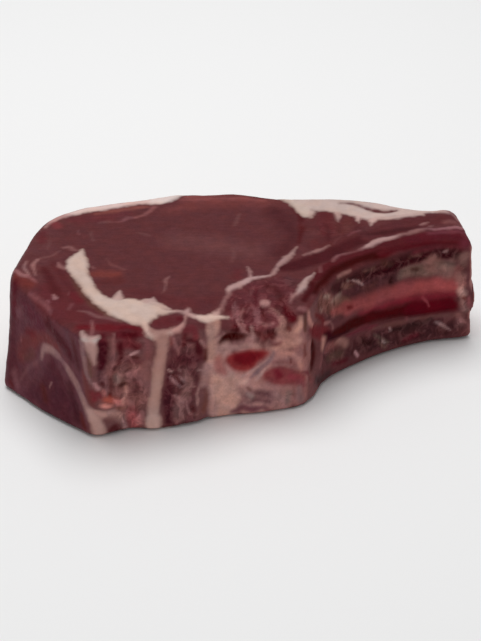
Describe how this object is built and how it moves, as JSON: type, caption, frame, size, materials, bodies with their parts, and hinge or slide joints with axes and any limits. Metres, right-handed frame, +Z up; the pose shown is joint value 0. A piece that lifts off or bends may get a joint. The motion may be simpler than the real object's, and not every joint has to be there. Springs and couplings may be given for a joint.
{
  "type": "raw veal rib chop",
  "caption": "Thick raw rib chop of veal lying on a sawn face: round loin muscle with a crescent of fat, a sawn piece of backbone at the side and a curved rib running to a narrow end.",
  "frame": {"origin": "on the surface the chop rests on, under the middle of the whole piece", "axes": "+X along the chop, from the edge over the back to the sawn end of the rib; -Y the side sawn through the backbone, +Y the skin side; +Z up, through the thickness"},
  "size_m": [0.1728, 0.1007, 0.0441],
  "materials": {
    "raw_meat": "moist raw veal, dark pinkish red with off-white fat seams",
    "raw_bone": "sawn raw bone, pinkish beige with dark red marrow"
  },
  "bodies": {
    "root": {"flesh": "raw_meat", "backbone": "raw_bone", "rib": "raw_bone"}
  },
  "joints": []
}
